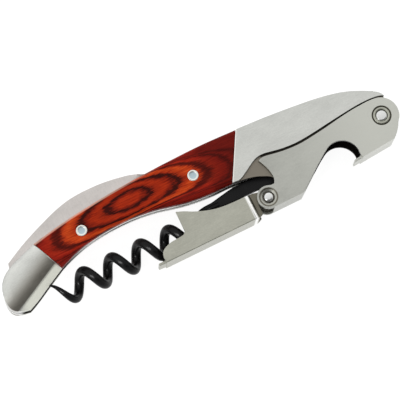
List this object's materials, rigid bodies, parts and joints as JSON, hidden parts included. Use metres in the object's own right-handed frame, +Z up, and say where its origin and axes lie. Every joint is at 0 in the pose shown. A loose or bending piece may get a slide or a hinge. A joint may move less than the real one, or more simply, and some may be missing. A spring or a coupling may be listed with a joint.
{
  "type": "waiters corkscrew",
  "caption": "Folding waiters corkscrew: curved steel and wood handle, stepped boot lever with bottle opener, black open-spiral worm and a foil knife along the spine.",
  "frame": {"origin": "middle of the folded tool's bounding box in plan, on the surface it lies on", "axes": "+X towards the head with the lever pivot, +Y towards the spine with the knife, +Z up out of the front face, through the thickness"},
  "size_m": [0.1232, 0.0292, 0.012],
  "materials": {
    "satin_steel": "satin",
    "lever_steel": "satin",
    "liner_steel": "stamped",
    "spring_steel": "ground",
    "bright_steel": "polished",
    "blade_steel": "ground",
    "worm_black": "gloss",
    "wood": "oiled"
  },
  "bodies": {
    "handle": {"front_liner": "liner_steel", "rear_liner": "liner_steel", "front_head_bolster": "satin_steel", "rear_head_bolster": "satin_steel", "front_tail_bolster": "satin_steel", "rear_tail_bolster": "satin_steel", "front_wood_scale": "wood", "rear_wood_scale": "wood", "head_spacer": "spring_steel", "back_spring": "spring_steel", "scale_pin_head": "bright_steel", "scale_pin_tail": "bright_steel", "bolster_pin_head": "bright_steel", "bolster_pin_mid": "bright_steel", "worm_pivot_pin": "bright_steel", "knife_pivot_pin": "bright_steel", "lever_pivot_bush": "bright_steel", "lever_pivot_rivet": "bright_steel", "front_lever_washer": "liner_steel", "rear_lever_washer": "liner_steel", "front_knife_washer": "liner_steel", "rear_knife_washer": "liner_steel"},
    "upper_lever": {"upper_lever": "lever_steel", "hinge_rivet": "bright_steel", "hinge_spacer": "liner_steel"},
    "lower_lever": {"lower_lever": "lever_steel"},
    "worm": {"worm": "worm_black"},
    "knife": {"knife_blade": "blade_steel"}
  },
  "joints": [
    {"name": "lever_swing", "type": "hinge", "parent": "handle", "child": "upper_lever", "pos_m": [0.0565, -0.00374, 0.006], "axis": [0, 0, 1], "range_deg": [0, 115]},
    {"name": "arm_fold", "type": "hinge", "parent": "upper_lever", "child": "lower_lever", "pos_m": [0.01745, -0.01049, 0.006], "axis": [0, 0, 1], "range_deg": [0, 85]},
    {"name": "worm_swing", "type": "hinge", "parent": "handle", "child": "worm", "pos_m": [0.0255, -0.00634, 0.006], "axis": [0, 0, 1], "range_deg": [0, 91]},
    {"name": "knife_swing", "type": "hinge", "parent": "handle", "child": "knife", "pos_m": [-0.0528, 0.00006, 0.006], "axis": [0, 0, 1], "range_deg": [0, 180]}
  ],
  "couplings": [
    {"joint": "worm_swing", "follows": "lever_swing", "ratio": 0.79}
  ]
}
